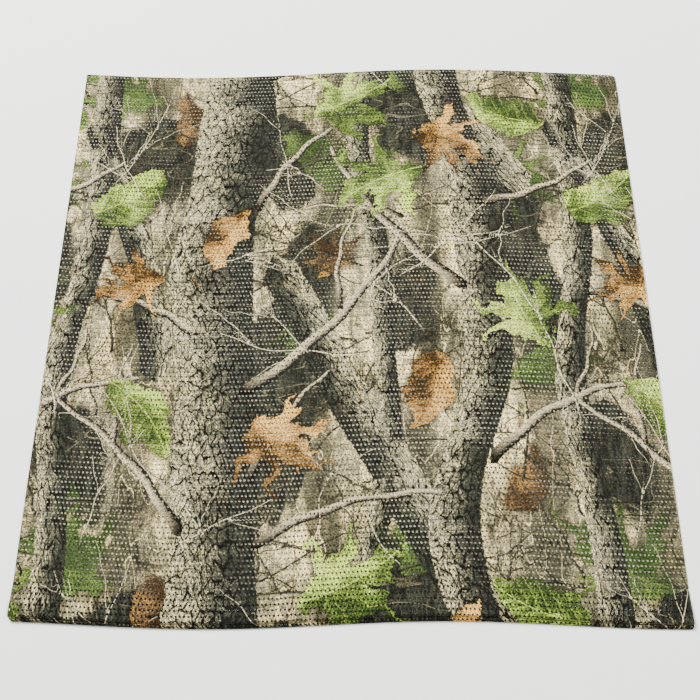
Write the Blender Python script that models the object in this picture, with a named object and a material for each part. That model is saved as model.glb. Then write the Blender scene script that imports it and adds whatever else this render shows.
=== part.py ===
"""Camouflage net: one length of knitted mesh cloth, folded once into two layers that lie flat.

The cloth is one closed sheet. In the front-to-back direction it has one U-shaped section: the upper layer
runs from the far edge towards the front, turns down through a soft bead at the fold, and runs back to the
far edge as the lower layer, which lies flat on the surface. The section is repeated across the width, where
the edges bow a little and the upper layer lifts in low, soft ridges.

Metres, +Z up, +X to the right, the fold at the -Y side. The origin is the centre of the sheet's box, on the
surface it lies on.
"""

import math

import bpy
import numpy as np

# Sheet as it lies
WIDTH = 0.710
DEPTH = 0.730  # from the fold to the far edge
CLOTH = 0.0010  # thickness of each layer's solid
LAYER_GAP = 0.0005
LOWER_LAYER_SHORT = 0.002  # how far the lower layer's edge stays behind the upper one's

# Fold: a soft bead, then a shallow groove where the upper layer comes down behind it
BEAD_DEPTH = 0.0064
BEAD_HEIGHT = 0.0042
BEAD_UNEVEN = 0.0006  # its height varies by this much either way, in waves across the width
BEAD_WAVES, BEAD_START = 1.7, 0.1
GROOVE_AT = 0.0085
GROOVE_DIP = 0.0003
GROOVE_END = 0.015
FLAT_FROM = 0.030  # both layers are flat from here back

# Edges bow in the plane of the cloth: amplitude, and the wave's length and start as shares of the width
NEAR_BOW, NEAR_WAVE, NEAR_START = 0.0042, 0.716, 0.105
FAR_BOW, FAR_WAVE, FAR_START = 0.0070, 0.927, -0.017

# Corners in plan, as the radius at which the side edge turns into the end edge
FOLD_LEFT_RADIUS = 0.007
FOLD_RIGHT_RADIUS = 0.003
FAR_RIGHT_RADIUS = 0.005

# Low ridges and lifted stretches of the upper layer. Places are shares of the width and of the depth, from
# the left edge and from the fold; length and breadth are the half-sizes at which the lift has faded out.
RIDGES = [
    # across, back, length, breadth, turned by (degrees), height
    {"across": 1.02, "back": 0.52, "length": 0.460, "breadth": 0.035, "turned": 90, "height": 0.0022},
    {"across": 0.93, "back": 0.93, "length": 0.110, "breadth": 0.060, "turned": 20, "height": 0.0018},
    {"across": 0.12, "back": 0.47, "length": 0.085, "breadth": 0.024, "turned": 62, "height": 0.0016},
    {"across": 0.49, "back": 0.37, "length": 0.100, "breadth": 0.026, "turned": 15, "height": 0.0018},
    {"across": 0.58, "back": 0.07, "length": 0.150, "breadth": 0.034, "turned": 4, "height": 0.0020},
    {"across": 0.30, "back": 0.72, "length": 0.120, "breadth": 0.028, "turned": 118, "height": 0.0012},
    {"across": 0.74, "back": 0.61, "length": 0.130, "breadth": 0.026, "turned": 75, "height": 0.0014},
    {"across": -0.01, "back": 0.22, "length": 0.150, "breadth": 0.026, "turned": 88, "height": 0.0014},
]

# Mesh
COLUMNS = 33
UPPER_STEPS = 22
SLOPE_STEPS = 4
NOSE_STEPS = 9
SMOOTH_UP_TO = 50  # degrees between faces that are shaded as one

PRINT_COLOUR = (0.160, 0.150, 0.098, 1.0)


def section():
    """The centre line of the cloth, from the far edge of the upper layer, round the fold, to the far edge of
    the lower layer, as distances back from the fold and heights. Both layers are level. The nose is half an
    ellipse; behind it the upper layer comes down on half a cosine to the groove, and rises to its level."""
    low = CLOTH / 2
    level = low + CLOTH + LAYER_GAP
    top = BEAD_HEIGHT - CLOTH / 2
    groove = level - GROOVE_DIP
    crown = BEAD_DEPTH / 2
    corner = [0.0, FAR_RIGHT_RADIUS / 4]  # lines close to the far edge, where its corner turns

    upper = [(DEPTH - step, level) for step in corner]
    upper += [(back, level) for back in np.linspace(DEPTH - FAR_RIGHT_RADIUS, FLAT_FROM, UPPER_STEPS)]
    upper += [(GROOVE_END, level), ((GROOVE_END + GROOVE_AT) / 2, (level + groove) / 2)]
    slope = np.linspace(0, 1, SLOPE_STEPS, endpoint=False)
    down = [(GROOVE_AT + (crown - GROOVE_AT) * s, groove + (top - groove) * (1 - math.cos(math.pi * s)) / 2)
            for s in slope]
    nose = [(crown * (1 - math.cos(a)) + CLOTH / 2, (top + low) / 2 + (top - low) / 2 * math.sin(a))
            for a in np.linspace(math.pi / 2, -math.pi / 2, NOSE_STEPS)]
    lower_end = DEPTH - LOWER_LAYER_SHORT
    lower = [(FLAT_FROM, low), (lower_end - FAR_RIGHT_RADIUS, low)]
    lower += [(lower_end - step, low) for step in reversed(corner)]
    return np.array(upper + down + nose + lower), level


def ridge_lift(across, back):
    """Height that the ridges add to the upper layer: for each one a smooth hump, the square of one minus the
    squared distance from its middle, measured in half-sizes along and across it."""
    lift = np.zeros_like(across)
    for ridge in RIDGES:
        turn = math.radians(ridge["turned"])
        right = (across - ridge["across"]) * WIDTH
        away = (back - ridge["back"]) * DEPTH
        along = (right * math.cos(turn) + away * math.sin(turn)) / ridge["length"]
        aside = (away * math.cos(turn) - right * math.sin(turn)) / ridge["breadth"]
        hump = np.clip(1 - along ** 2 - aside ** 2, 0, None) ** 2
        lift = np.maximum(lift, ridge["height"] * hump)
    return lift


def bow(across, back):
    """How far the cloth's crossways lines bow towards the back: a sine wave across the width, which changes
    evenly from its near form to its far one."""
    near = -NEAR_BOW * np.sin(2 * math.pi * (across - NEAR_START) / NEAR_WAVE)
    far = -FAR_BOW * np.sin(2 * math.pi * (across - FAR_START) / FAR_WAVE)
    return near + (far - near) * back


def corner_inset(distance, radius):
    """How far a side edge is drawn in at a given distance from the end edge: a quarter circle."""
    reach = np.clip(distance / radius, 0, 1)
    return radius * (1 - np.sqrt(1 - (1 - reach) ** 2))


def outward_normals(line):
    """Unit normals of the section line, out of the printed face: across the mean of the two segments that
    meet at each point."""
    steps = np.diff(line, axis=0)
    steps /= np.linalg.norm(steps, axis=1)[:, None]
    along = np.concatenate([steps[:1], steps[:-1] + steps[1:], steps[-1:]])
    along /= np.linalg.norm(along, axis=1)[:, None]
    return np.stack([along[:, 1], -along[:, 0]], axis=1)


def surface(side):
    """One face of the cloth as a grid of points, columns by section points: half the cloth's thickness out
    from the centre line for the printed face, side +1, or in for the reverse, side -1."""
    line, level = section()
    offset = line + side * CLOTH / 2 * outward_normals(line)
    across = np.repeat(np.linspace(0, 1, COLUMNS + 1)[:, None], len(line), axis=1)
    back, height = (np.tile(values, (COLUMNS + 1, 1)) for values in offset.T)

    is_upper = line[:, 1] > level - CLOTH / 2
    behind_bead = np.clip((line[:, 0] - GROOVE_AT) / GROOVE_END, 0, 1) * is_upper
    height = height + ridge_lift(across, back / DEPTH) * behind_bead
    in_bead = np.clip((line[:, 1] - level) / (BEAD_HEIGHT - level), 0, 1)
    height = height + BEAD_UNEVEN * in_bead * np.sin(2 * math.pi * (BEAD_WAVES * across + BEAD_START))

    left = corner_inset(back, FOLD_LEFT_RADIUS)
    right = corner_inset(back, FOLD_RIGHT_RADIUS) + corner_inset(DEPTH - back, FAR_RIGHT_RADIUS)
    x = left + (WIDTH - left - right) * across
    y = back + bow(across, back / DEPTH)
    return np.stack([x, y, height], axis=-1)


def net_cloth():
    """The cloth as one closed solid: both surfaces, and the cut edge all round between them."""
    outer, inner = surface(+1), surface(-1)
    columns, points = outer.shape[:2]
    vertices = np.concatenate([outer.reshape(-1, 3), inner.reshape(-1, 3)])
    low, high = vertices.min(axis=0), vertices.max(axis=0)
    vertices -= [(low[0] + high[0]) / 2, (low[1] + high[1]) / 2, low[2]]

    index = np.arange(columns * points).reshape(columns, points)
    under = index + columns * points
    faces = []
    for i in range(columns - 1):
        for j in range(points - 1):
            faces.append((index[i, j], index[i, j + 1], index[i + 1, j + 1], index[i + 1, j]))
            faces.append((under[i, j], under[i + 1, j], under[i + 1, j + 1], under[i, j + 1]))
        faces.append((index[i, 0], index[i + 1, 0], under[i + 1, 0], under[i, 0]))
        faces.append((index[i, -1], under[i, -1], under[i + 1, -1], index[i + 1, -1]))
    for j in range(points - 1):
        faces.append((index[0, j], under[0, j], under[0, j + 1], index[0, j + 1]))
        faces.append((index[-1, j], index[-1, j + 1], under[-1, j + 1], under[-1, j]))

    mesh = bpy.data.meshes.new("net_cloth")
    mesh.from_pydata(vertices.tolist(), [], [[int(v) for v in face] for face in faces])
    mesh.validate()
    mesh.update()
    mesh.shade_smooth()
    mesh.set_sharp_from_angle(angle=math.radians(SMOOTH_UP_TO))
    cloth = bpy.data.objects.new("net_cloth", mesh)
    cloth.data.materials.append(printed_mesh_cloth())
    bpy.context.scene.collection.objects.link(cloth)
    return cloth


def printed_mesh_cloth():
    """Matt printed polyester in the mean colour of a woodland print."""
    material = bpy.data.materials.new("printed_mesh_cloth")
    material.use_nodes = True
    shader = material.node_tree.nodes["Principled BSDF"]
    shader.inputs["Base Color"].default_value = PRINT_COLOUR
    shader.inputs["Roughness"].default_value = 0.85
    shader.inputs["Metallic"].default_value = 0.0
    return material


for thing in list(bpy.data.objects):
    bpy.data.objects.remove(thing, do_unlink=True)
net_cloth()
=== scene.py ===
import math

import bmesh
import bpy
import numpy as np
from mathutils import Euler, Matrix, Vector


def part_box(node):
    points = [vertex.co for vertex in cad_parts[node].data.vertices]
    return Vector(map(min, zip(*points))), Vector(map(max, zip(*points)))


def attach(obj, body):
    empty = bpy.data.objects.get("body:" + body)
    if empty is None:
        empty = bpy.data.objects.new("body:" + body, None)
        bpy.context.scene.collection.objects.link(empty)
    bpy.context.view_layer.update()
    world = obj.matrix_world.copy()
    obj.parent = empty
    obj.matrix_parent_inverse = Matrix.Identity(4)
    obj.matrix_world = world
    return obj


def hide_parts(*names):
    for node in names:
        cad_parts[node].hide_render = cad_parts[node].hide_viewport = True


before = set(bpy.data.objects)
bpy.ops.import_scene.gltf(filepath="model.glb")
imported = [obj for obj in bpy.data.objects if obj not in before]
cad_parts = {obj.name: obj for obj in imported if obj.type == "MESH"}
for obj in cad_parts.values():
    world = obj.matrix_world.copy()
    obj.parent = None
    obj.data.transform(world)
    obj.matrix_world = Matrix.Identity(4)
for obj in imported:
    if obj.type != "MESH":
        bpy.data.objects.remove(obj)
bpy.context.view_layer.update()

# ---- Camera ------------------------------------------------------------------------------------------------
# It looks down on the cloth from the fold's side, a little turned and tilted.
CAMERA_PLACE = (0.0045, -0.5695, 1.0711)  # metres, as all lengths but those marked mm
CAMERA_DOWN = 64.11  # degrees below the level
CAMERA_TURNED = 0.53  # degrees to the left
CAMERA_ROLLED = -0.51  # degrees
LENS = 52.31  # mm

camera = bpy.data.objects.new("camera", bpy.data.cameras.new("camera"))
camera.data.lens = LENS
look = Euler((math.radians(90 - CAMERA_DOWN), 0, math.radians(CAMERA_TURNED))).to_matrix()
look = look @ Matrix.Rotation(math.radians(CAMERA_ROLLED), 3, "Z")
camera.matrix_world = Matrix.Translation(CAMERA_PLACE) @ look.to_4x4()
bpy.context.scene.collection.objects.link(camera)
bpy.context.scene.camera = camera

# ---- Floor and light ---------------------------------------------------------------------------------------
# A plain pale floor in even, bright surroundings, with a strong soft box behind and a weak one at the right.
FLOOR_SIZE = 8.0
SKY_STRENGTH = 0.56
SOFT_BOXES = [
    {"name": "soft_box_back", "place": (-2.0, 2.9, 3.0), "size": 2.0, "watts": 770.0},
    {"name": "soft_box_right", "place": (2.4, 0.6, 3.0), "size": 1.6, "watts": 112.0},
]


def linear(code):
    """An sRGB hex colour as linear RGBA."""
    values = [int(code[i:i + 2], 16) / 255 for i in (1, 3, 5)]
    return [v / 12.92 if v <= 0.04045 else ((v + 0.055) / 1.055) ** 2.4 for v in values] + [1.0]


half = FLOOR_SIZE / 2
floor_corners = [(-half, -half, 0), (half, -half, 0), (half, half, 0), (-half, half, 0)]
floor_mesh = bpy.data.meshes.new("floor")
floor_mesh.from_pydata(floor_corners, [], [(0, 1, 2, 3)])
floor = bpy.data.objects.new("floor", floor_mesh)
bpy.context.scene.collection.objects.link(floor)
floor_paint = bpy.data.materials.new("matt_floor_paint")
floor_paint.use_nodes = True
floor_shader = floor_paint.node_tree.nodes["Principled BSDF"]
floor_shader.inputs["Base Color"].default_value = linear("#f3f3f1")
floor_shader.inputs["Roughness"].default_value = 0.9
floor_shader.inputs["Specular IOR Level"].default_value = 0.05
floor_mesh.materials.append(floor_paint)

world = bpy.data.worlds.new("studio")
world.use_nodes = True
world.node_tree.nodes["Background"].inputs["Color"].default_value = linear("#f7f7f4")
world.node_tree.nodes["Background"].inputs["Strength"].default_value = SKY_STRENGTH
bpy.context.scene.world = world

for box in SOFT_BOXES:
    light = bpy.data.objects.new(box["name"], bpy.data.lights.new(box["name"], "AREA"))
    light.data.size = box["size"]
    light.data.energy = box["watts"]
    light.location = box["place"]
    light.rotation_euler = Vector(box["place"]).to_track_quat("Z", "Y").to_euler()
    bpy.context.scene.collection.objects.link(light)

# ---- The cloth as it lies ----------------------------------------------------------------------------------
# One length of knitted mesh, folded once: the upper layer comes from the far edge to a soft bead at the fold,
# and the lower layer runs back under it, flat on the surface. The edges are cut, with nothing sewn to them.
WIDTH = 0.710
DEPTH = 0.730  # from the fold to the far edge
CLOTH = 0.00045  # its thickness
LAYER_GAP = 0.00035
LOWER_LAYER_SHORT = 0.002  # how far the lower layer's edge stays behind the upper one's
BEAD_DEPTH, BEAD_HEIGHT = 0.0054, 0.0032  # the fold's soft bead
BEAD_DROOP = 2.0  # the power by which its nose hangs down
BEAD_UNEVEN, BEAD_WAVES, BEAD_START = 0.0006, 1.7, 0.1
# behind the bead: a groove, then a lip, each as its place back from the fold and its height
GROOVE_AT, GROOVE_HEIGHT = 0.0037, 0.0026
LIP_AT, LIP_HEIGHT = 0.0056, 0.0054
FLAT_FROM = 0.045  # the upper layer has come down from the lip here
CURVE_STEPS, NOSE_STEPS, LINE_STEPS = 40, 81, 3000
# the edges bow in the plane of the cloth: amplitude, and the wave's length and start as shares of the width
NEAR_BOW, NEAR_WAVE, NEAR_START = 0.0042, 0.716, 0.105
FAR_BOW, FAR_WAVE, FAR_START = 0.0070, 0.927, -0.017
FOLD_LEFT_RADIUS, FOLD_RIGHT_RADIUS, FAR_RIGHT_RADIUS = 0.007, 0.003, 0.005
TURN_OVER = 0.006  # the ridges fade out over this much of the cloth before the fold
EASE, EASE_OVER = 0.0011, 0.035  # both layers stand this far off the surface, but for this far from the edges
RIPPLE, RIPPLE_SHARPNESS = 0.0028, 1.5  # soft bumps of the upper layer
SLACK, SLACK_OVER = 0.0055, 0.06  # how far the lower layer's holes stray, but for this far behind the fold
# slanted waves, as how many of them lie across the width and along the depth
RIPPLE_WAVES = [(4.4, 0.7), (-0.8, 4.2)]
SLACK_WAVES = {"x": (0.7, 2.1), "y": (1.9, 0.6)}
# low ridges of the upper layer: shares of the width and the depth, half-sizes, turn in degrees, height
RIDGES = [
    {"across": 1.02, "back": 0.52, "length": 0.460, "breadth": 0.035, "turned": 90, "height": 0.0022},
    {"across": 0.93, "back": 0.93, "length": 0.110, "breadth": 0.060, "turned": 20, "height": 0.0018},
    {"across": 0.12, "back": 0.47, "length": 0.085, "breadth": 0.024, "turned": 62, "height": 0.0016},
    {"across": 0.49, "back": 0.37, "length": 0.100, "breadth": 0.026, "turned": 15, "height": 0.0018},
    {"across": 0.58, "back": 0.07, "length": 0.150, "breadth": 0.034, "turned": 4, "height": 0.0020},
    {"across": 0.30, "back": 0.72, "length": 0.120, "breadth": 0.028, "turned": 118, "height": 0.0012},
    {"across": 0.74, "back": 0.61, "length": 0.130, "breadth": 0.026, "turned": 75, "height": 0.0014},
    {"across": -0.01, "back": 0.22, "length": 0.150, "breadth": 0.026, "turned": 88, "height": 0.0014},
]


def section():
    """Centre line of the cloth from the upper layer's far edge, round the fold, to the lower layer's, with
    the distance along it, its unit normals out of the printed face and the upper layer's level. Half a cosine
    rises to the lip, another goes down to the groove and a third up to the bead's crown. The nose is half an
    ellipse whose height is taken to a power."""
    low = CLOTH / 2
    level = low + CLOTH + LAYER_GAP
    top = BEAD_HEIGHT - CLOTH / 2
    crown = BEAD_DEPTH / 2
    turns = [(FLAT_FROM, level), (LIP_AT, LIP_HEIGHT), (GROOVE_AT, GROOVE_HEIGHT), (crown, top)]
    stretches = [[(DEPTH, level)]]
    share = np.linspace(0, 1, CURVE_STEPS)[:-1]
    smooth = (1 - np.cos(math.pi * share)) / 2
    for (back, height), (next_back, next_height) in zip(turns, turns[1:]):
        curve_back = back + (next_back - back) * share
        curve_height = height + (next_height - height) * smooth
        stretches.append(np.stack([curve_back, curve_height], axis=1))
    turn = np.linspace(math.pi / 2, -math.pi / 2, NOSE_STEPS)
    nose_back = crown * (1 - np.cos(turn)) + low
    nose_height = low + (top - low) * ((1 + np.sin(turn)) / 2) ** BEAD_DROOP
    stretches.append(np.stack([nose_back, nose_height], axis=1))
    stretches.append([(DEPTH - LOWER_LAYER_SHORT, low)])
    line = np.concatenate(stretches)
    distance = np.concatenate([[0], np.cumsum(np.linalg.norm(np.diff(line, axis=0), axis=1))])
    closer = np.unique(np.concatenate([distance, np.linspace(0, distance[-1], LINE_STEPS)]))
    line = np.stack([np.interp(closer, distance, values) for values in line.T], axis=1)
    along = np.gradient(line, closer, axis=0)
    along /= np.linalg.norm(along, axis=1)[:, None]
    return line, closer, np.stack([along[:, 1], -along[:, 0]], axis=1), level


line, distance, normals, level = section()
LENGTH = distance[-1]
FOLD = distance[np.argmin(line[:, 0])]


def ridge_lift(across, back):
    """Height that the ridges add: for each, the square of one minus the squared distance from its middle."""
    lift = np.zeros_like(across)
    for ridge in RIDGES:
        turn = math.radians(ridge["turned"])
        right = (across - ridge["across"]) * WIDTH
        away = (back - ridge["back"]) * DEPTH
        along = (right * math.cos(turn) + away * math.sin(turn)) / ridge["length"]
        aside = (away * math.cos(turn) - right * math.sin(turn)) / ridge["breadth"]
        lift = np.maximum(lift, ridge["height"] * np.clip(1 - along ** 2 - aside ** 2, 0, None) ** 2)
    return lift


def bow(across, back):
    """How far crossways lines bow to the back: a sine wave that changes evenly from near to far."""
    near = -NEAR_BOW * np.sin(2 * math.pi * (across - NEAR_START) / NEAR_WAVE)
    far = -FAR_BOW * np.sin(2 * math.pi * (across - FAR_START) / FAR_WAVE)
    return near + (far - near) * back


def corner_inset(gap, radius):
    """How far a side edge is drawn in at this distance from the end edge: a quarter circle."""
    reach = np.clip(gap / radius, 0, 1)
    return radius * (1 - np.sqrt(1 - (1 - reach) ** 2))


def ramp(distance_in, over):
    """A smooth rise from 0 to 1 over a distance: three times the share's square less twice its cube."""
    share = np.clip(distance_in / over, 0, 1)
    return share * share * (3 - 2 * share)


def slanted_wave(across, back, counts):
    """A sine wave with these counts of waves across the width and along the depth."""
    return np.sin(2 * math.pi * (counts[0] * across + counts[1] * back / DEPTH))


def lie(x, s, side):
    """Places of points of the flat cloth, x across and s along it, on one of its faces: side +1 printed, -1
    reverse. The section gives back, height and normal at s; then come ridges, bow and rounded corners."""
    across = x / WIDTH
    back, height = (np.interp(s, distance, line[:, i]) for i in (0, 1))
    out_back, out_up = (np.interp(s, distance, normals[:, i]) for i in (0, 1))
    upper = ramp(FOLD - s, TURN_OVER)
    inner = ramp(x, EASE_OVER) * ramp(WIDTH - x, EASE_OVER) * ramp(DEPTH - back, EASE_OVER)
    in_bead = np.clip((height - level) / (BEAD_HEIGHT - level), 0, 1)
    bumps = 1
    for counts in RIPPLE_WAVES:
        bumps = bumps * (1 + slanted_wave(across, back, counts)) / 2
    lift = np.maximum(ridge_lift(across, back / DEPTH), RIPPLE * bumps ** RIPPLE_SHARPNESS * inner)
    lift *= upper * ramp(back - GROOVE_AT, FLAT_FROM)
    lift += EASE * inner * ramp(back - LIP_AT, EASE_OVER)
    lift += BEAD_UNEVEN * in_bead * np.sin(2 * math.pi * (BEAD_WAVES * across + BEAD_START))
    slack = SLACK * (s > FOLD) * inner * ramp(back, SLACK_OVER)
    back = back + side * CLOTH / 2 * out_back
    left = corner_inset(back, FOLD_LEFT_RADIUS)
    right = corner_inset(back, FOLD_RIGHT_RADIUS) + corner_inset(DEPTH - back, FAR_RIGHT_RADIUS)
    placed_x = left + (WIDTH - left - right) * across - WIDTH / 2
    placed_x += slack * slanted_wave(across, back, SLACK_WAVES["x"])
    placed_y = back + bow(across, back / DEPTH) + slack * slanted_wave(across, back, SLACK_WAVES["y"])
    return np.stack([placed_x, placed_y, height + side * CLOTH / 2 * out_up + lift], axis=-1)


# the cloth's nearest point is the CAD box's nearest one
along_fold = np.linspace(0, WIDTH, 400)
nearest = lie(along_fold, np.full_like(along_fold, FOLD), 1)[:, 1].min()
TO_FRAME = (0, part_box("net_cloth")[0].y - nearest, 0)

# ---- The knitted mesh --------------------------------------------------------------------------------------
# Warp-knitted polyester: rows of small oval holes, each row half a hole to the side of the last. Every hole
# of both layers is cut through. The cloth is made in strips, which meet along one zigzag of its bars.
HOLES_ACROSS = 160
ROWS = 245
HOLE_WIDTH, HOLE_LENGTH = 0.00222, 0.00290
HOLE_SLANT = 0.18  # to the right, for its length
HOLE_UNEVEN, HOLE_ASTRAY = 0.08, 0.00012  # spread of its size, as a share, and of its place
HOLE_SEED = 5
PLAIN_HOLE = (1.12, 1.08)  # a four-sided hole is this much wider and longer than a six-sided one
SAME_PLACE = 1e-5  # a cut moves to a corner that is nearer than this
# a hole's corners, clockwise where s is up, in its widths and lengths; with four sides, two pairs coincide
N, NE, SE, S, SW, NW = range(6)
SIX_SIDES = np.array([(0, 0.5), (0.5, 0.25), (0.5, -0.25), (0, -0.5), (-0.5, -0.25), (-0.5, 0.25)])
FOUR_SIDES = np.array([(0, 0.5), (0.5, 0), (0.5, 0), (0, -0.5), (-0.5, 0), (-0.5, 0)]) * PLAIN_HOLE


def knit(plain_from):
    """The flat cloth as points (x, s), triangles and each triangle's row. A hole is six corners about its
    middle, or four from the row plain_from on, and bars and small fields join it to its neighbours. Rows -1
    and ROWS are the end edges and half of the outermost sites lie on the side edges: there a hole is one
    point."""
    rng = np.random.default_rng(HOLE_SEED)
    sites = HOLES_ACROSS + 1
    row = np.arange(-1, ROWS + 1)[:, None, None]
    site = np.arange(sites)[None, :, None]
    odd = row % 2 == 1
    on_edge = (row < 0) | (row >= ROWS) | (~odd & (site == HOLES_ACROSS)) | (odd & (site == 0))
    plain = row >= plain_from
    grown = rng.normal(1, HOLE_UNEVEN, (ROWS + 2, sites, 1, 2))
    astray = rng.normal(0, HOLE_ASTRAY, (ROWS + 2, sites, 1, 2))
    hole = np.where(plain[..., None], FOUR_SIDES, SIX_SIDES) * [HOLE_WIDTH, HOLE_LENGTH] * grown + astray
    hole[..., 0] += HOLE_SLANT * hole[..., 1]
    hole *= ~on_edge[..., None]
    middle_x = np.where(odd, site, site + 0.5) * WIDTH / (HOLES_ACROSS + 0.5)
    middle_s = np.clip((row + 0.5) * LENGTH / ROWS, 0, LENGTH)
    x, s = middle_x + hole[..., 0], middle_s + hole[..., 1]

    corner = np.arange(6)
    same = np.where(plain & (corner == SE), NE, np.where(plain & (corner == NW), SW, corner))
    same = np.where(on_edge, 0, same)
    index = np.arange(x.size).reshape(x.shape)
    index = np.take_along_axis(index, np.broadcast_to(same, index.shape), axis=2)
    first_corner, last_corner = x.size, x.size + 1
    points = np.concatenate([np.stack([x.ravel(), s.ravel()], axis=1), [(WIDTH, 0), (WIDTH, LENGTH)]])
    triangles, owners = [], []

    def add(rows, *corners):
        """Triangles from three arrays of corners, owned by these rows."""
        corners = np.broadcast_arrays(*corners)
        triangles.append(np.stack(corners, axis=-1).reshape(-1, 3))
        owners.append(np.broadcast_to(rows, corners[0].shape).ravel())

    def at(rows, places, which):
        """The corners of one kind, of the holes at these places in these rows."""
        return index[rows + 1, places, which]

    last = HOLES_ACROSS
    for parity in (0, 1):
        every = np.arange(-1, ROWS + 1)
        every = every[every % 2 == parity][:, None]
        # a bar from each hole to the next row's hole at its right
        r = every[every[:, 0] < ROWS]
        k = np.arange(0, last + parity)[None]
        up = k + 1 - parity
        add(r, at(r, k, NE), at(r + 1, up, S), at(r + 1, up, SW))
        add(r, at(r, k, NE), at(r + 1, up, SW), at(r, k, N))
        # and to the one at its left
        k = np.arange(parity, last + 1)[None]
        up = k - parity
        add(r, at(r, k, N), at(r + 1, up, SE), at(r, k, NW))
        add(r, at(r + 1, up, SE), at(r + 1, up, S), at(r, k, NW))
        # a bar between two neighbours in a row, with a field of three corners over it and another under it
        k = np.arange(0, last)[None]
        up = k + 1 - parity
        add(every, at(every, k, SE), at(every, k + 1, SW), at(every, k + 1, NW))
        add(every, at(every, k, SE), at(every, k + 1, NW), at(every, k, NE))
        add(r, at(r, k, NE), at(r, k + 1, NW), at(r + 1, up, S))
        r = every[every[:, 0] > -1]
        add(r, at(r, k, SE), at(r - 1, up, N), at(r, k + 1, SW))
    # the left edge, the right edge and its two corners
    r = np.arange(0, ROWS, 2)
    add(r, at(r - 1, 0, N), at(r, 0, SW), at(r, 0, NW))
    add(r, at(r - 1, 0, N), at(r, 0, NW), at(r + 1, 0, N))
    r = np.arange(1, ROWS - 1, 2)
    add(r, at(r, last, SE), at(r - 1, last, N), at(r + 1, last, N))
    add(r, at(r, last, SE), at(r + 1, last, N), at(r, last, NE))
    add(-1, at(-1, last, N), first_corner, at(0, last, N))
    add(ROWS, at(ROWS, last, N), at(ROWS - 1, last, N), last_corner)

    triangles, owners = np.concatenate(triangles), np.concatenate(owners)
    a, b, c = triangles.T
    whole = (a != b) & (b != c) & (c != a)
    return points, triangles[whole], owners[whole]


def cut_across(points, triangles, lines):
    """The flat cloth with its triangles cut along crossways lines, so that it can bend tightly there."""
    flat = bpy.data.meshes.new("flat")
    flat.from_pydata(np.pad(points, [(0, 0), (0, 1)]).tolist(), [], triangles.tolist())
    cutter = bmesh.new()
    cutter.from_mesh(flat)
    for place in lines:
        all_of_it = cutter.verts[:] + cutter.edges[:] + cutter.faces[:]
        middle, crossways = (0, place, 0), (0, 1, 0)
        bmesh.ops.bisect_plane(cutter, geom=all_of_it, dist=SAME_PLACE, plane_co=middle, plane_no=crossways)
    bmesh.ops.triangulate(cutter, faces=cutter.faces[:])
    cutter.to_mesh(flat)
    cutter.free()
    points = np.empty(3 * len(flat.vertices))
    flat.vertices.foreach_get("co", points)
    triangles = np.empty(len(flat.loops), dtype=np.int32)
    flat.loops.foreach_get("vertex_index", triangles)
    bpy.data.meshes.remove(flat)
    return points.reshape(-1, 3)[:, :2], triangles.reshape(-1, 3).astype(np.int64)


def hole_middle(x, s):
    """The middle of the hole in whose cell a point lies."""
    row = np.clip(np.floor(s / (LENGTH / ROWS)), 0, ROWS - 1)
    first = np.where(row % 2 == 1, 0.0, 0.5)
    step = WIDTH / (HOLES_ACROSS + 0.5)
    return (np.round(x / step - first) + first) * step, (row + 0.5) * LENGTH / ROWS


# ---- The print ---------------------------------------------------------------------------------------------
# A woodland print on one face, from a roller that repeats every 595 by 640 mm: barked trunks, branches, twigs
# and leaves over a pale ground. Tables say where each motif lies on the roller, in metres, x to the right and
# y away from the fold. A motif's own coordinates go to the mesh as an attribute, and the material draws it.
REPEAT_X, REPEAT_Y = 0.595, 0.640
STANDING_FRONT = [
    {"x": 0.200, "half": 0.048, "sway": 0.010, "start": 0.10},
    {"x": 0.497, "half": 0.027, "sway": 0.022, "start": 0.62},
]
STANDING_BACK = [
    {"x": 0.030, "half": 0.017, "sway": 0.012, "start": 0.35},
    {"x": 0.385, "half": 0.014, "sway": 0.016, "start": 0.80},
]
LEANING = [
    {"from": (0.560, -0.090), "to": (0.270, 0.430), "halves": (0.030, 0.022), "bend": 0.012},
    {"from": (0.130, 0.300), "to": (0.020, 0.640), "halves": (0.020, 0.012), "bend": -0.015},
]
BRANCHES = [
    {"from": (0.235, 0.270), "to": (0.420, 0.475), "halves": (0.0080, 0.0035), "bend": -0.018},
    {"from": (0.345, 0.372), "to": (0.362, 0.510), "halves": (0.0040, 0.0015), "bend": 0.012},
    {"from": (0.490, 0.400), "to": (0.330, 0.610), "halves": (0.0075, 0.0030), "bend": 0.016},
    {"from": (0.420, 0.500), "to": (0.300, 0.520), "halves": (0.0035, 0.0015), "bend": -0.008},
    {"from": (0.515, 0.180), "to": (0.705, 0.285), "halves": (0.0070, 0.0025), "bend": 0.022},
    {"from": (0.600, 0.245), "to": (0.640, 0.350), "halves": (0.0035, 0.0015), "bend": -0.008},
    {"from": (0.170, 0.105), "to": (0.020, 0.255), "halves": (0.0065, 0.0030), "bend": -0.014},
    {"from": (0.095, 0.190), "to": (0.100, 0.330), "halves": (0.0035, 0.0012), "bend": 0.010},
    {"from": (0.250, 0.090), "to": (0.455, 0.140), "halves": (0.0060, 0.0030), "bend": 0.016},
    {"from": (0.045, 0.395), "to": (0.165, 0.350), "halves": (0.0030, 0.0055), "bend": 0.010},
    {"from": (0.520, 0.520), "to": (0.660, 0.590), "halves": (0.0065, 0.0025), "bend": -0.012},
    {"from": (0.240, 0.520), "to": (0.330, 0.640), "halves": (0.0055, 0.0030), "bend": 0.010},
    {"from": (0.245, 0.165), "to": (0.330, 0.290), "halves": (0.0050, 0.0020), "bend": 0.010},
]
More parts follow.
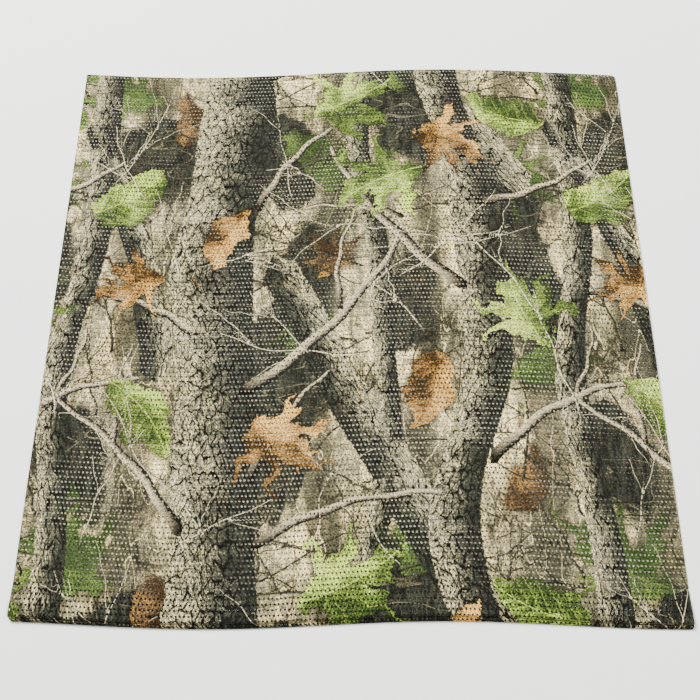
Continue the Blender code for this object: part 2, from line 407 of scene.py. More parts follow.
# kind 0 is a pointed oval leaf with a toothed edge, kind 1 a leaf of five pointed lobes
GREEN_FRONT = [
    {"x": 0.350, "y": 0.055, "length": 0.145, "turned": 25, "kind": 1, "tone": 0.75},
    {"x": 0.570, "y": 0.375, "length": 0.130, "turned": 112, "kind": 1, "tone": 0.85},
    {"x": 0.395, "y": 0.545, "length": 0.145, "turned": 205, "kind": 1, "tone": 0.65},
    {"x": 0.115, "y": 0.235, "length": 0.115, "turned": -52, "kind": 0, "tone": 0.60},
    {"x": 0.075, "y": 0.545, "length": 0.120, "turned": 38, "kind": 0, "tone": 0.80},
    {"x": 0.555, "y": 0.025, "length": 0.110, "turned": 160, "kind": 0, "tone": 0.55},
]
GREEN_BACK = [
    {"x": 0.425, "y": 0.110, "length": 0.120, "turned": 80, "kind": 0, "tone": 0.55},
    {"x": 0.050, "y": 0.080, "length": 0.160, "turned": 150, "kind": 1, "tone": 0.70},
    {"x": 0.300, "y": 0.590, "length": 0.120, "turned": 130, "kind": 0, "tone": 0.45},
    {"x": 0.590, "y": 0.290, "length": 0.105, "turned": 15, "kind": 0, "tone": 0.50},
    {"x": 0.310, "y": 0.340, "length": 0.095, "turned": -70, "kind": 1, "tone": 0.30},
    {"x": 0.560, "y": 0.550, "length": 0.130, "turned": -30, "kind": 1, "tone": 0.60},
]
BROWN_FRONT = [
    {"x": 0.285, "y": 0.215, "length": 0.125, "turned": -38, "kind": 1, "tone": 0.70},
    {"x": 0.440, "y": 0.265, "length": 0.100, "turned": -105, "kind": 0, "tone": 0.55},
    {"x": 0.095, "y": 0.400, "length": 0.105, "turned": 198, "kind": 1, "tone": 0.45},
    {"x": 0.480, "y": 0.605, "length": 0.115, "turned": -18, "kind": 1, "tone": 0.65},
    {"x": 0.205, "y": 0.470, "length": 0.095, "turned": -115, "kind": 0, "tone": 0.70},
]
BROWN_BACK = [
    {"x": 0.545, "y": 0.160, "length": 0.090, "turned": 65, "kind": 0, "tone": 0.45},
    {"x": 0.335, "y": 0.455, "length": 0.085, "turned": 140, "kind": 1, "tone": 0.40},
    {"x": 0.140, "y": 0.020, "length": 0.090, "turned": 95, "kind": 0, "tone": 0.55},
]
# soft dark hollows between the trunks, and far trunks out of focus: middle, half-sizes, turn in degrees
HOLLOWS = [
    {"x": 0.285, "y": 0.300, "across": 0.045, "along": 0.170, "turned": -8},
    {"x": 0.430, "y": 0.020, "across": 0.060, "along": 0.075, "turned": 30},
    {"x": 0.560, "y": 0.470, "across": 0.042, "along": 0.110, "turned": 14},
    {"x": 0.110, "y": 0.600, "across": 0.060, "along": 0.070, "turned": -25},
    {"x": 0.045, "y": 0.190, "across": 0.042, "along": 0.070, "turned": 20},
    {"x": 0.430, "y": 0.385, "across": 0.030, "along": 0.075, "turned": -15},
    {"x": 0.275, "y": 0.585, "across": 0.035, "along": 0.060, "turned": 5},
]
FAR_TRUNKS = [
    {"x": 0.100, "half": 0.022, "dark": 0.75},
    {"x": 0.325, "half": 0.020, "dark": 0.85},
    {"x": 0.440, "half": 0.014, "dark": 0.65},
    {"x": 0.565, "half": 0.024, "dark": 0.80},
]
TWIGS_BACK = {"seed": 11, "count": 96, "halves": (0.0008, 0.0020)}
TWIGS_FRONT = {"seed": 23, "count": 22, "halves": (0.0006, 0.0012)}
TWIG_LENGTH = (0.070, 0.240)
TWIG_BEND, TWIG_TIP = 0.08, 0.4  # shares of its length, and of its breadth at the start
TWIG_HEADINGS, TWIG_ASTRAY = [90, 60, 125, 20, 160], 18  # degrees
TWIG_WAVE, TWIG_WAVES = (0.006, 0.02), (1, 3.5)  # their height for its length, and how many
SIDE_TWIGS, SIDE_TWIG_AT, SIDE_TWIG_TURN = 2, (0.25, 0.8), (25, 50)  # share of the twig, and degrees
SIDE_TWIG_LENGTH, SIDE_TWIG_BREADTH = (0.3, 0.55), 0.7  # for its twig's
STROKE_WAVE, STROKE_WAVES = 0.0015, 3  # of a branch or a leaning trunk: their height, and how many
WAVE_SHIFT = 97  # from a stroke's bend to the start of its waves, so that they start elsewhere on each
SECOND_SWAY, SECOND_START = 0.35, 1  # an upright trunk's second wave for its first, and its start, radians
TRUNK_UNEVEN = 0.06  # an upright trunk's breadth varies by this share, three times in a repeat
HOLLOW_FADE = 0.7  # at its half-size a hollow has fallen to e to the power of minus this
FAR_TRUNK_SWAY, FAR_TRUNK_SHIFT = 0.014, 0.3  # each next one's wave starts this share of a wave later
GUARD = 0.012  # a trunk or a stroke has no coordinates further out than this
LEAF_GUARD = 0.55  # nor has a leaf where the square of its distance in leaf lengths is over this
NO_LEAF = -50.0
LEAF_BENDS = (-0.08, 0.10)  # of every other leaf, in its lengths
LEAF_LEFT, LEAF_RIGHT = 1.12, 0.92  # its halves are unequal
LEANING_START = 5  # added along the leaning trunks, so that their bark differs from the upright ones'


def to_repeat(x, y, at):
    """Offsets from a place on the roller to points, each by way of its nearest repeat."""
    return ((x - at[0] + REPEAT_X / 2) % REPEAT_X - REPEAT_X / 2,
            (y - at[1] + REPEAT_Y / 2) % REPEAT_Y - REPEAT_Y / 2)


def standing(x, y, trunk):
    """Across, along and half-breadth at points, for an upright trunk with two sine waves of sway."""
    turn = 2 * math.pi * (y / REPEAT_Y + trunk["start"])
    sway = trunk["sway"] * (np.sin(turn) + SECOND_SWAY * np.sin(2 * turn + SECOND_START))
    across = to_repeat(x - sway, y, (trunk["x"], 0))[0]
    return across, y, trunk["half"] * (1 + TRUNK_UNEVEN * np.sin(3 * turn))


def stroke(x, y, row):
    """Across, along and half-breadth at points, for a stroke from one place to another that bends to its left
    as a parabola, wavers as a sine and tapers evenly. Past its ends the half-breadth falls below nothing."""
    start, end = np.array(row["from"]), np.array(row["to"])
    length = np.linalg.norm(end - start)
    ahead = (end - start) / length
    right, up = to_repeat(x, y, (start + end) / 2)
    share = (right * ahead[0] + up * ahead[1]) / length + 0.5
    aside = up * ahead[0] - right * ahead[1]
    waved = share * row.get("waves", STROKE_WAVES) + row["bend"] * WAVE_SHIFT
    wave = row.get("wave", STROKE_WAVE) * np.sin(2 * math.pi * waved)
    across = aside - row["bend"] * 4 * share * (1 - share) - wave
    half_breadth = row["halves"][0] + (row["halves"][1] - row["halves"][0]) * share
    past = np.maximum(-share, share - 1) * length
    return across, np.clip(share, 0, 1) * length, half_breadth - np.maximum(past, 0)


def nearest_of(x, y, rows, form):
    """The coordinates (across, along, half-breadth) of the row whose edge lies furthest out at each point,
    with its number added along it. Far from every row the half-breadth is -1, so that none shows where the
    nearest row changes."""
    best = np.full(len(x), -GUARD)
    found = np.tile([0.0, 0.0, -1.0], (len(x), 1))
    for number, row in enumerate(rows):
        across, along, half_breadth = form(x, y, row)
        inside = half_breadth - np.abs(across)
        better = np.flatnonzero(inside > best)
        best[better] = inside[better]
        found[better] = np.stack([across, along + number, half_breadth], axis=1)[better]
    return found


def leaf_coordinates(x, y, leaves):
    """For the nearest leaf at each point: along it from stalk, 0, to tip, 1, and across it, in its lengths,
    bent to one side as a parabola, and twice its kind plus its tone, or NO_LEAF away from every leaf."""
    best = np.full(len(x), LEAF_GUARD)
    found = np.tile([0.0, 0.0, NO_LEAF], (len(x), 1))
    for number, leaf in enumerate(leaves):
        turn = math.radians(leaf["turned"])
        right, up = to_repeat(x, y, (leaf["x"], leaf["y"]))
        along = (right * math.cos(turn) + up * math.sin(turn)) / leaf["length"] + 0.5
        across = (up * math.cos(turn) - right * math.sin(turn)) / leaf["length"]
        far = (along - 0.5) ** 2 + across ** 2
        across = across - LEAF_BENDS[number % 2] * 4 * along * (1 - along)
        across = np.where(across > 0, across * LEAF_LEFT, across * LEAF_RIGHT)
        nearer = np.flatnonzero(far < best)
        best[nearer] = far[nearer]
        mark = np.full_like(x, 2 * leaf["kind"] + leaf["tone"])
        found[nearer] = np.stack([along, across, mark], axis=1)[nearer]
    return found


def twig_rows(seed, count, halves):
    """Thin strokes scattered over the repeat, each with side twigs that leave it at an angle."""
    rng = np.random.default_rng(seed)
    rows = []

    def grow(start, heading, length, half_breadth, kids):
        """Adds a twig and its side twigs, which start on its bend: a parabola, as in a stroke."""
        end = start + length * np.array([math.cos(heading), math.sin(heading)])
        bend = rng.uniform(-TWIG_BEND, TWIG_BEND) * length
        halves = (half_breadth, half_breadth * TWIG_TIP)
        rows.append({"from": start, "to": end, "halves": halves, "bend": bend,
                     "wave": rng.uniform(*TWIG_WAVE) * length, "waves": rng.uniform(*TWIG_WAVES)})
        for _ in range(kids):
            share = rng.uniform(*SIDE_TWIG_AT)
            fork = start + share * (end - start)
            fork = fork + bend * 4 * share * (1 - share) * np.array([-math.sin(heading), math.cos(heading)])
            aside = rng.choice([-1, 1]) * math.radians(rng.uniform(*SIDE_TWIG_TURN))
            side_length = length * rng.uniform(*SIDE_TWIG_LENGTH)
            grow(fork, heading + aside, side_length, half_breadth * SIDE_TWIG_BREADTH, 0)

    for _ in range(count):
        start = rng.uniform(0, 1, 2) * [REPEAT_X, REPEAT_Y]
        heading = math.radians(rng.choice(TWIG_HEADINGS) + rng.uniform(-TWIG_ASTRAY, TWIG_ASTRAY))
        grow(start, heading, rng.uniform(*TWIG_LENGTH), rng.uniform(*halves), SIDE_TWIGS)
    return rows


def soft_masses(x, y):
    """Two soft amounts at points: dark hollows, each a bell of an ellipse, and far trunks, each a bell across
    its sway."""
    hollow, far = np.zeros_like(x), np.zeros_like(x)
    for row in HOLLOWS:
        turn = math.radians(row["turned"])
        right, up = to_repeat(x, y, (row["x"], row["y"]))
        across = (right * math.cos(turn) + up * math.sin(turn)) / row["across"]
        along = (up * math.cos(turn) - right * math.sin(turn)) / row["along"]
        hollow = np.maximum(hollow, np.exp(-HOLLOW_FADE * (across ** 2 + along ** 2)))
    for number, row in enumerate(FAR_TRUNKS):
        sway = FAR_TRUNK_SWAY * np.sin(2 * math.pi * (y / REPEAT_Y + FAR_TRUNK_SHIFT * number))
        across = to_repeat(x - sway, y, (row["x"], 0))[0] / row["half"]
        far = np.maximum(far, row["dark"] * np.exp(-(across ** 4)))
    return np.stack([hollow, far, np.zeros_like(x)], axis=1)


def print_coordinates(x, s):
    """Every attribute that the printed face's material reads, for points of the flat cloth."""
    y = FOLD - s
    found = {
        "cloth": np.stack([x, y, np.zeros_like(x)], axis=1),
        "masses": soft_masses(x, y),
        "bark_front": nearest_of(x, y, STANDING_FRONT, standing),
        "branch": nearest_of(x, y, BRANCHES, stroke),
        "twig_back": nearest_of(x, y, twig_rows(**TWIGS_BACK), stroke),
        "twig_front": nearest_of(x, y, twig_rows(**TWIGS_FRONT), stroke),
        "green_front": leaf_coordinates(x, y, GREEN_FRONT),
        "green_back": leaf_coordinates(x, y, GREEN_BACK),
        "brown_front": leaf_coordinates(x, y, BROWN_FRONT),
        "brown_back": leaf_coordinates(x, y, BROWN_BACK),
    }
    upright = nearest_of(x, y, STANDING_BACK, standing)
    leaning = nearest_of(x, y, LEANING, stroke)
    is_leaning = leaning[:, 2] - np.abs(leaning[:, 0]) > upright[:, 2] - np.abs(upright[:, 0])
    found["bark_back"] = np.where(is_leaning[:, None], leaning + [0, LEANING_START, 0], upright)
    return found


# Pigment print on polyester knit: fully matt, with hardly any gloss. Knitting shows as a fine, uneven relief.
INK = {
    "ground_light": "#ffe6a4", "ground": "#857d5c", "ground_shade": "#39382a", "far_trunk": "#313125",
    # the darkest ink draws the print's cracks and shadows, and is also painted shade on the reverse near the
    # fold
    "charcoal": "#191a16", "haze_dark": "#3c3f32", "crack_and_shade": "#090907",
    "bark": "#3e4034", "bark_light": "#ecdca6", "branch_light": "#b3a482",
    "twig_dark": "#16140c", "twig_pale": "#dccfa6",
    "green_light": "#aec155", "green": "#576b28", "green_dark": "#283517", "green_dim": "#394727",
    "orange_light": "#d3a457", "orange": "#906933", "orange_dark": "#302210", "brown_dim": "#493b29",
    "reverse": "#cec5ad",
}
INK = {name: linear(code) for name, code in INK.items()}
printed_cloth = bpy.data.materials.new("pigment_printed_polyester_mesh")
printed_cloth.use_nodes = True
tree = printed_cloth.node_tree
shader = tree.nodes["Principled BSDF"]
shader.inputs["Roughness"].default_value = 0.9
shader.inputs["Specular IOR Level"].default_value = 0.05


def node(kind, *inputs, **settings):
    """Adds a node with its settings and its live inputs in their order, and returns its first live output. An
    input is a value, another node's output, the name of an ink, or None where it keeps its own value."""
    made = tree.nodes.new("ShaderNode" + kind)
    for name, value in settings.items():
        setattr(made, name, value)
    live = [socket for socket in made.inputs if socket.enabled]
    for socket, value in zip(live, inputs):
        if isinstance(value, bpy.types.NodeSocket):
            tree.links.new(value, socket)
        elif value is not None:
            socket.default_value = INK[value] if isinstance(value, str) else value
    return next(socket for socket in made.outputs if socket.enabled)


def parts(name):
    """The three numbers of a vector attribute."""
    read = node("Attribute", attribute_name=name).node
    return node("SeparateXYZ", read.outputs["Vector"]).node.outputs


def cloud(patch, stretch=(1.0, 1.0, 1.0), detail=3.0, rough=0.6):
    """Noise over the cloth in patches of about this many millimetres, longer where a stretch is below 1."""
    way = node("VectorMath", cloth_xy, stretch, operation="MULTIPLY")
    return node("TexNoise", way, 1000 / patch, detail, rough)


def contour(patch, stretch, thin, strength):
    """Hair lines where such a noise passes its middle value."""
    above = node("Math", cloud(patch, stretch, 1.5), 0.5, operation="SUBTRACT")
    apart = node("Math", above, operation="ABSOLUTE")
    return node("MapRange", apart, thin * 0.4, thin * 1.3, strength, 0.0)


cloth_xy = node("Attribute", attribute_name="cloth").node.outputs["Vector"]
mottle = cloud(36)
grain = cloud(5.3, rough=0.65)
fine = cloud(1.9, detail=2.0, rough=0.7)

# The ground: pale patches with upright streaks, far trunks out of focus, a tangle of hair-fine twigs. A tone
# is a sum of such noises, and the second input of each MULTIPLY_ADD is how much of one goes into it.
GROUND_TONES = (0.74, 0.89, 1.10)  # at which the ground is in shade, of its middle colour and light
FAR_TONES, HOLLOW_TONES = (0.85, 1.35), (1.34, 1.42)  # over which a far trunk and a hollow set in
streak = cloud(5.9, (1.0, 0.16, 1.0))
tone = node("Math", streak, 0.40, cloud(59, (1.0, 0.45, 1.0), 5.0), operation="MULTIPLY_ADD")
tone = node("Math", grain, 0.45, tone, operation="MULTIPLY_ADD")
colour = node("Mix", node("MapRange", tone, *GROUND_TONES[:2]), "ground_shade", "ground", data_type="RGBA")
colour = node("Mix", node("MapRange", tone, *GROUND_TONES[1:]), colour, "ground_light", data_type="RGBA")
masses = parts("masses")
far = node("Math", mottle, 0.8, masses["Y"], operation="MULTIPLY_ADD")
far = node("Math", streak, 0.7, far, operation="MULTIPLY_ADD")
far = node("MapRange", far, *FAR_TONES, 0.0, 0.85)
colour = node("Mix", far, colour, "far_trunk", data_type="RGBA")
colour = node("Mix", contour(48, (1.0, 0.35, 1.0), 0.008, 0.75), colour, "twig_dark", data_type="RGBA")
colour = node("Mix", contour(33, (0.45, 1.0, 1.0), 0.008, 0.65), colour, "twig_dark", data_type="RGBA")
colour = node("Mix", contour(14, (1.0, 0.40, 1.0), 0.016, 0.55), colour, "ground_shade", data_type="RGBA")
colour = node("Mix", contour(29, (0.9, 0.30, 1.0), 0.004, 0.6), colour, "ground_light", data_type="RGBA")
rough_edge = node("Math", grain, 0.35, masses["X"], operation="MULTIPLY_ADD")
rough_edge = node("Math", cloud(83, (1.0, 0.6, 1.0), 5.0), 1.5, rough_edge, operation="MULTIPLY_ADD")
hollow = node("MapRange", rough_edge, *HOLLOW_TONES)
deep = node("Mix", node("MapRange", streak, 0.45, 0.75), "charcoal", "haze_dark", data_type="RGBA")
deep = node("Mix", contour(17, (1.0, 0.25, 1.0), 0.02, 0.6), deep, "ground_shade", data_type="RGBA")
deep = node("Mix", contour(42, (0.30, 1.0, 1.0), 0.004, 0.45), deep, "ground", data_type="RGBA")
colour = node("Mix", hollow, colour, deep, data_type="RGBA")

# numbers that change in patches of 25 mm and pull the leaves' and trunks' outlines out of true
STRAY_PATCH = 25  # mm
stray_noise = node("TexNoise", cloth_xy, 1000 / STRAY_PATCH, 1.0).node
stray = node("SeparateXYZ", stray_noise.outputs["Color"]).node.outputs

# a lobed leaf's outline: turn from its tip, as a share of half a turn, and reach from its middle
LOBES = [
    {"turn": 0.00, "reach": 0.70, "pointed": True},
    {"turn": 0.05, "reach": 0.44, "pointed": False},
    {"turn": 0.09, "reach": 0.50, "pointed": True},
    {"turn": 0.14, "reach": 0.25, "pointed": False},
    {"turn": 0.20, "reach": 0.42, "pointed": True},
    {"turn": 0.23, "reach": 0.40, "pointed": False},
    {"turn": 0.27, "reach": 0.62, "pointed": True},
    {"turn": 0.33, "reach": 0.30, "pointed": False},
    {"turn": 0.40, "reach": 0.23, "pointed": False},
    {"turn": 0.44, "reach": 0.33, "pointed": True},
    {"turn": 0.50, "reach": 0.50, "pointed": True},
    {"turn": 0.58, "reach": 0.23, "pointed": False},
    {"turn": 0.75, "reach": 0.20, "pointed": False},
    {"turn": 1.00, "reach": 0.26, "pointed": False},
]
LEAF_MIDDLE = 0.36  # where a lobed leaf's main veins meet, from its stalk
LOBE_VEIN_TURN = 0.264  # between them, as a share of half a turn
OVAL_BREADTH, STALK_POWER, TIP_POWER = 0.66, 0.62, 0.85  # an oval leaf's half-breadth, and its powers
OVAL_VEIN_STEP = 0.125  # between its pairs of veins
TOOTH, TOOTH_RISE = 0.033, 2.6  # half the step between the teeth of its edge, and how steep they are
LEAF_STRAY, BARK_STRAY = 0.30, (0.016, 0.020)  # of a leaf, in its lengths, and of bark, in metres
VEIN_EDGE, RIB_EDGE = (0.001, 0.007), (0.003, 0.009)  # where a vein and the rib fade out
LEAF_TO_MIDDLE, LEAF_TO_LIGHT = (2.14, 2.54), (2.56, 3.08)  # tones over which a leaf's inks follow
BARK_TO_LIGHT, BARK_OPENS = (1.32, 1.86), (0.32, 0.42)  # tones of a plate's face, and of the cracks' edges
BARK_EDGE, STROKE_EDGE = (0.0036, 0.0044), (-0.0004, 0.0004)  # where an outline sets in


def leaf_layer(colour, name, inks, vein_ink, soft_edge):
    """Draws the leaves of one attribute: an oval leaf's half-breadth is a power of the way from its stalk
    times one of the way to its tip, and a lobed one's reach is a curve over the angle about its middle."""
    along, across, mark = parts(name)
    kind = node("Math", mark, 1.5, operation="GREATER_THAN")
    tone = node("Math", kind, -2.0, mark, operation="MULTIPLY_ADD")
    rib_gap = node("Math", across, operation="ABSOLUTE")
    side_vein = node("Math", rib_gap, -0.9, along, operation="MULTIPLY_ADD")
    side_vein = node("Math", mottle, 0.25, side_vein, operation="MULTIPLY_ADD")
    along = node("Math", along, LEAF_STRAY / 2, operation="SUBTRACT")
    along = node("Math", stray[0], LEAF_STRAY, along, operation="MULTIPLY_ADD")
    across = node("Math", across, LEAF_STRAY / 2, operation="SUBTRACT")
    across = node("Math", stray[1], LEAF_STRAY, across, operation="MULTIPLY_ADD")
    aside = node("Math", across, operation="ABSOLUTE")

    from_stalk = node("Math", along, STALK_POWER, operation="POWER")
    to_tip = node("Math", 1.0, along, operation="SUBTRACT")
    to_tip = node("Math", to_tip, TIP_POWER, operation="POWER")
    tooth = node("Math", along, TOOTH, operation="PINGPONG")
    tooth = node("Math", tooth, TOOTH_RISE, OVAL_BREADTH, operation="MULTIPLY_ADD")
    oval = node("Math", from_stalk, to_tip, operation="MULTIPLY")
    oval = node("Math", oval, tooth, operation="MULTIPLY")
    oval = node("Math", oval, aside, operation="SUBTRACT")

    ahead = node("Math", along, LEAF_MIDDLE, operation="SUBTRACT")
    angle = node("Math", aside, ahead, operation="ARCTAN2")
    angle = node("Math", angle, math.pi, operation="DIVIDE")
    reach = node("FloatCurve", 1.0, angle)
    curve = reach.node.mapping.curves[0]
    for _ in LOBES[2:]:
        curve.points.new(0.5, 0.5)
    for point, lobe in zip(curve.points, LOBES):
        point.location = (lobe["turn"], lobe["reach"])
        point.handle_type = "VECTOR" if lobe["pointed"] else "AUTO"
    reach.node.mapping.update()
    radius = node("Math", across, across, operation="MULTIPLY")
    radius = node("Math", ahead, ahead, radius, operation="MULTIPLY_ADD")
    radius = node("Math", radius, operation="SQRT")
    lobed = node("Math", grain, 0.20, reach, operation="MULTIPLY_ADD")
    lobed = node("Math", lobed, radius, operation="SUBTRACT")
    lobed = node("Math", lobed, 0.10, operation="SUBTRACT")

    edge = node("Mix", kind, oval, lobed, data_type="FLOAT")
    nowhere = node("Math", mark, 0.0, operation="MINIMUM")
    edge = node("Math", edge, nowhere, operation="ADD")
    shape = node("MapRange", edge, 0.0, soft_edge)
    shadow = node("MapRange", edge, -0.07, 0.0, 0.0, 0.6)
    colour = node("Mix", shadow, colour, "crack_and_shade", data_type="RGBA")

    # the veins run from a lobed leaf's middle outwards, or in pairs from an oval one's rib; between two of
    # them the leaf is lighter towards one
    lobe_place = node("Math", angle, LOBE_VEIN_TURN, operation="DIVIDE")
    oval_place = node("Math", side_vein, OVAL_VEIN_STEP, operation="DIVIDE")
    place = node("Mix", kind, oval_place, lobe_place, data_type="FLOAT")
    lobe_width = node("Math", radius, 0.83, operation="MULTIPLY")
    width = node("Mix", kind, 0.09, lobe_width, data_type="FLOAT")
    gap = node("Math", place, 0.5, operation="PINGPONG")
    gap = node("Math", gap, width, operation="MULTIPLY")
    vein = node("MapRange", gap, *VEIN_EDGE, 0.22, 0.0)
    rib = node("MapRange", rib_gap, *RIB_EDGE, 0.65, 0.0)
    vein = node("Math", vein, rib, operation="MAXIMUM")

    lit = node("Math", tone, 0.5, operation="MULTIPLY")
    between_veins = node("Math", place, operation="FRACT")
    lit = node("Math", between_veins, 0.30, lit, operation="MULTIPLY_ADD")
    half_leaf = node("MapRange", across, -0.03, 0.03, -0.16, 0.16)
    lit = node("Math", lit, half_leaf, operation="ADD")
    lit = node("Math", across, 0.6, lit, operation="MULTIPLY_ADD")
    lit = node("Math", mottle, 2.2, lit, operation="MULTIPLY_ADD")
    lit = node("Math", grain, 0.70, lit, operation="MULTIPLY_ADD")
    lit = node("Math", fine, 1.20, lit, operation="MULTIPLY_ADD")
    body = node("Mix", node("MapRange", lit, *LEAF_TO_MIDDLE), inks[0], inks[1], data_type="RGBA")
    body = node("Mix", node("MapRange", lit, *LEAF_TO_LIGHT), body, inks[2], data_type="RGBA")
    body = node("Mix", vein, body, vein_ink, data_type="RGBA")
    return node("Mix", shape, colour, body, data_type="RGBA")


def bark_layer(colour, name, plate_width, plate_length):
    """Draws the trunks of one attribute: cells drawn out along the trunk are plates of bark, with dark cracks
    where two cells meet, lit from the left and dark to the right."""
    across, along, half_breadth = parts(name)
    x = node("Math", stray[0], BARK_STRAY[0], across, operation="MULTIPLY_ADD")
    x = node("Math", x, plate_width, operation="DIVIDE")
    x = node("Math", grain, 0.55, x, operation="MULTIPLY_ADD")
    y = node("Math", stray[1], BARK_STRAY[1], along, operation="MULTIPLY_ADD")
    y = node("Math", y, plate_length, operation="DIVIDE")
    cell = node("CombineXYZ", x, y)
    seam = node("TexVoronoi", cell, 1.0, feature="DISTANCE_TO_EDGE", voronoi_dimensions="2D")
    fibre = node("TexNoise", cell, 1.4, 5.0, 0.72)
    crumb = node("TexNoise", cell, 5.0, 2.0, 0.6)
    share = node("Math", across, half_breadth, operation="DIVIDE")
    shade = node("Math", mottle, -2.0, share, operation="MULTIPLY_ADD")
    shade = node("MapRange", shade, -1.7, -0.3, 1.0, 0.0)
    face_tone = node("Math", crumb, 1.2, fibre, operation="MULTIPLY_ADD")
    face_tone = node("Math", shade, 0.40, face_tone, operation="MULTIPLY_ADD")
    body = node("Mix", node("MapRange", face_tone, *BARK_TO_LIGHT), "bark", "bark_light", data_type="RGBA")
    open_seam = node("Math", fibre, 0.45, seam, operation="MULTIPLY_ADD")
    open_seam = node("Math", shade, 0.08, open_seam, operation="MULTIPLY_ADD")
    body = node("Mix", node("MapRange", open_seam, *BARK_OPENS), "crack_and_shade", body, data_type="RGBA")
    body = node("Mix", node("MapRange", shade, 0.0, 0.50, 0.25, 1.0), "charcoal", body, data_type="RGBA")
    aside = node("Math", across, operation="ABSOLUTE")
    inside = node("Math", half_breadth, aside, operation="SUBTRACT")
    inside = node("Math", grain, 0.008, inside, operation="MULTIPLY_ADD")
    return node("Mix", node("MapRange", inside, *BARK_EDGE), colour, body, data_type="RGBA")


def stroke_layer(colour, name, dark, light, shaded):
    """Draws branches or twigs: a dark stroke with a light upper side, in shade for its first stretch."""
    across, along, half_breadth = parts(name)
    aside = node("Math", across, operation="ABSOLUTE")
    inside = node("Math", half_breadth, aside, operation="SUBTRACT")
    share = node("Math", across, half_breadth, operation="DIVIDE")
    share = node("Math", grain, 1.8, share, operation="MULTIPLY_ADD")
    body = node("Mix", node("MapRange", share, 0.35, 1.25), dark, light, data_type="RGBA")
    from_start = node("Math", along, operation="FRACT")
    body = node("Mix", node("MapRange", from_start, 0.0, shaded), "crack_and_shade", body, data_type="RGBA")
    return node("Mix", node("MapRange", inside, *STROKE_EDGE), colour, body, data_type="RGBA")


GREENS, DIM_GREENS = ("green_dark", "green", "green_light"), ("green_dark", "green_dim", "green")
BROWNS, DIM_BROWNS = ("orange_dark", "orange", "orange_light"), ("orange_dark", "brown_dim", "orange")
colour = leaf_layer(colour, "green_back", DIM_GREENS, "green", soft_edge=0.06)
colour = leaf_layer(colour, "brown_back", DIM_BROWNS, "orange_dark", soft_edge=0.05)
colour = stroke_layer(colour, "twig_back", "twig_dark", "ground_shade", shaded=0.010)
colour = bark_layer(colour, "bark_back", plate_width=0.0052, plate_length=0.026)
colour = bark_layer(colour, "bark_front", plate_width=0.0075, plate_length=0.0170)
colour = stroke_layer(colour, "branch", "charcoal", "branch_light", shaded=0.045)
colour = leaf_layer(colour, "brown_front", BROWNS, "orange_dark", soft_edge=0.012)
colour = leaf_layer(colour, "green_front", GREENS, "green_light", soft_edge=0.012)
colour = stroke_layer(colour, "twig_front", "bark", "twig_pale", shaded=0.020)

# the knit takes up the inks unevenly: a real stitch is about half a millimetre, which is too fine to show in
# the render, so stitches are drawn at 1 mm, and clumps of them at 2 mm
stitches = node("MapRange", cloud(1.05, detail=0.0), 0.30, 0.70, 0.50, 1.50)
clumps = node("MapRange", fine, 0.35, 0.65, 0.40, 1.60)
knit_tone = node("Math", stitches, clumps, operation="MULTIPLY")
uneven = node("CombineColor", knit_tone, knit_tone, knit_tone)
colour = node("Mix", 1.0, colour, uneven, data_type="RGBA", blend_type="MULTIPLY")

# the pigment strikes through the open knit, and on the reverse the print shows half faded; within 50 mm of
# the fold the reverse is painted darker, as painted shade where little light reaches it there
STRUCK_THROUGH = 0.50
DARK_UP_TO, LIGHT_FROM, LIGHT_LEFT = 0.018, 0.050, 0.12
reverse = node("Mix", STRUCK_THROUGH, "reverse", colour, data_type="RGBA")
from_fold = node("Math", parts("cloth")["Y"], operation="ABSOLUTE")
light_inside = node("MapRange", from_fold, DARK_UP_TO, LIGHT_FROM, LIGHT_LEFT, 1.0)
# painted shade: near the fold the reverse is mixed towards the darkest ink, which otherwise draws the print's
# cracks and shadows
reverse = node("Mix", light_inside, "crack_and_shade", reverse, data_type="RGBA")
printed = node("Attribute", attribute_name="printed").node.outputs["Fac"]
colour = node("Mix", printed, reverse, colour, data_type="RGBA")
tree.links.new(colour, shader.inputs["Base Color"])
RELIEF, RELIEF_STRENGTH = 0.0003, 0.25
bump = node("Bump", RELIEF_STRENGTH, RELIEF, None, fine)
tree.links.new(bump, shader.inputs["Normal"])

# ---- The strips --------------------------------------------------------------------------------------------
# The whole cloth is one cut length. Its mesh is too fine for one object, so it is made in seven strips, each
# with the rows from its first up to, but without, its last.
fold_row = int(FOLD / (LENGTH / ROWS))
STRIPS = [
    {"name": "net_upper_far", "rows": (-1, 40)},
    {"name": "net_upper_middle", "rows": (40, 80)},
    {"name": "net_upper_near", "rows": (80, fold_row - 2)},
    {"name": "net_fold", "rows": (fold_row - 2, fold_row + 2)},
    {"name": "net_lower_near", "rows": (fold_row + 2, 163)},
    {"name": "net_lower_middle", "rows": (163, 204)},
    {"name": "net_lower_far", "rows": (204, ROWS + 1)},
]
# where the fold's strip has more lines to bend on, in mm before and after the fold
FOLD_LINES = [-12.9, -8.4, -8.0, -5.3, -4.9, -3.9, -2.7, -1.7, -0.7, 0.0, 0.4, 1.0]
# a strip's bake map: two panels for the printed face and over them a band for the reverse
PANEL_FROM, PANEL_HEIGHT, PANEL_MARGIN = 0.005, 0.39, 0.015
REVERSE_FROM, REVERSE_TO, MARGIN = 0.80, 0.98, 0.01
WALL_IN = 0.5  # how far a wall's inner side is drawn in towards its hole's middle
SHARP_OVER = 70  # degrees


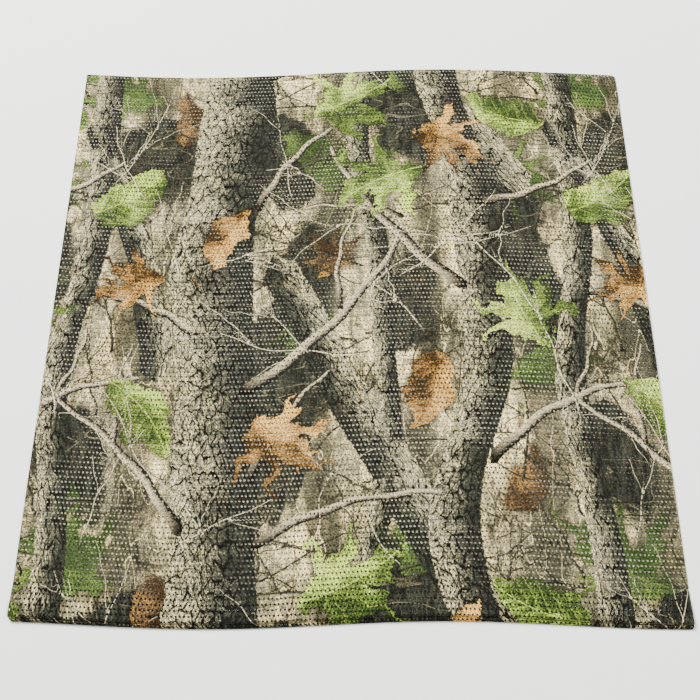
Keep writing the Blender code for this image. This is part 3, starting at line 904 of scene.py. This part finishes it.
def closed(points, triangles):
    """The strip's flat points, its faces as a closed sheet and how many of them are on one side of it: its
    reverse, its printed face turned over, and a wall of two triangles on each side that only one triangle
    uses, at holes and at the strip's edges."""
    used, triangles = np.unique(triangles, return_inverse=True)
    triangles = triangles.reshape(-1, 3)
    points = points[used]
    count = len(points)
    sides = np.concatenate([triangles[:, :2], triangles[:, 1:], triangles[:, [2, 0]]])
    code, back_code = sides[:, 0] * count + sides[:, 1], sides[:, 1] * count + sides[:, 0]
    u, v = sides[~np.isin(code, back_code)].T
    walls = [(v, u, u + count), (v, u + count, v + count)]
    walls = [np.stack(corners, axis=1) for corners in walls]
    return points, np.concatenate([triangles, triangles[:, ::-1] + count, *walls]), len(triangles)


def inset(share, margin):
    """A share of a stretch, kept off both its ends by a margin."""
    return margin + (1 - 2 * margin) * share


def unwrapped(points, faces, count):
    """Bake map of one strip: the printed face as two panels, each half the width, one above the other, the
    reverse as a low band over them, and each wall inside its own hole's place."""
    low, high = points[:, 1].min(), points[:, 1].max()
    n = len(points)
    x, s = points[faces % n].transpose(2, 0, 1)
    hole_x, hole_s = hole_middle(x.mean(axis=1, keepdims=True), s.mean(axis=1, keepdims=True))
    number = np.arange(len(faces))[:, None]
    is_wall, is_reverse = number >= 2 * count, number < count
    drawn_in = is_wall & (faces < n)
    x = np.where(drawn_in, x + (hole_x - x) * WALL_IN, x)
    s = np.where(drawn_in, s + (hole_s - s) * WALL_IN, s)
    panel = np.where(is_wall, hole_x, x.mean(axis=1, keepdims=True)) > WIDTH / 2
    share = np.clip((s - low) / (high - low), 0, 1)
    panel_u = inset((x - panel * WIDTH / 2) / (WIDTH / 2), PANEL_MARGIN)
    panel_v = PANEL_FROM + PANEL_HEIGHT * (inset(share, MARGIN) + panel)
    u = np.where(is_reverse, inset(x / WIDTH, MARGIN), panel_u)
    v = np.where(is_reverse, REVERSE_FROM + (REVERSE_TO - REVERSE_FROM) * share, panel_v)
    return np.stack([u, v], axis=-1)


points, triangles, owners = knit(plain_from=fold_row + 2)
for strip in STRIPS:
    first, last = strip["rows"]
    chosen = points, triangles[(owners >= first) & (owners < last)]
    if strip["name"] == "net_fold":
        chosen = cut_across(*chosen, [FOLD + step / 1000 for step in FOLD_LINES])
    flat, faces, count = closed(*chosen)
    places = np.concatenate([lie(flat[:, 0], flat[:, 1], -1), lie(flat[:, 0], flat[:, 1], 1)]) + TO_FRAME
    mesh = bpy.data.meshes.new(strip["name"])
    mesh.vertices.add(len(places))
    mesh.vertices.foreach_set("co", places.ravel())
    mesh.loops.add(faces.size)
    mesh.loops.foreach_set("vertex_index", faces.ravel().astype(np.int32))
    mesh.polygons.add(len(faces))
    mesh.polygons.foreach_set("loop_start", np.arange(0, faces.size, 3, dtype=np.int32))
    mesh.update(calc_edges=True)
    mesh.uv_layers.new(name="OFBake").uv.foreach_set("vector", unwrapped(flat, faces, count).ravel())
    printed = mesh.attributes.new("printed", "FLOAT", "POINT")
    printed.data.foreach_set("value", np.repeat([0.0, 1.0], len(flat)))
    for name, values in print_coordinates(flat[:, 0], flat[:, 1]).items():
        both = np.concatenate([values, values]).astype(np.float32)
        mesh.attributes.new(name, "FLOAT_VECTOR", "POINT").data.foreach_set("vector", both.ravel())
    mesh.shade_smooth()
    mesh.set_sharp_from_angle(angle=math.radians(SHARP_OVER))
    mesh.materials.append(printed_cloth)
    piece = bpy.data.objects.new(strip["name"], mesh)
    bpy.context.scene.collection.objects.link(piece)
    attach(piece, "root")
    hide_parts("net_cloth")
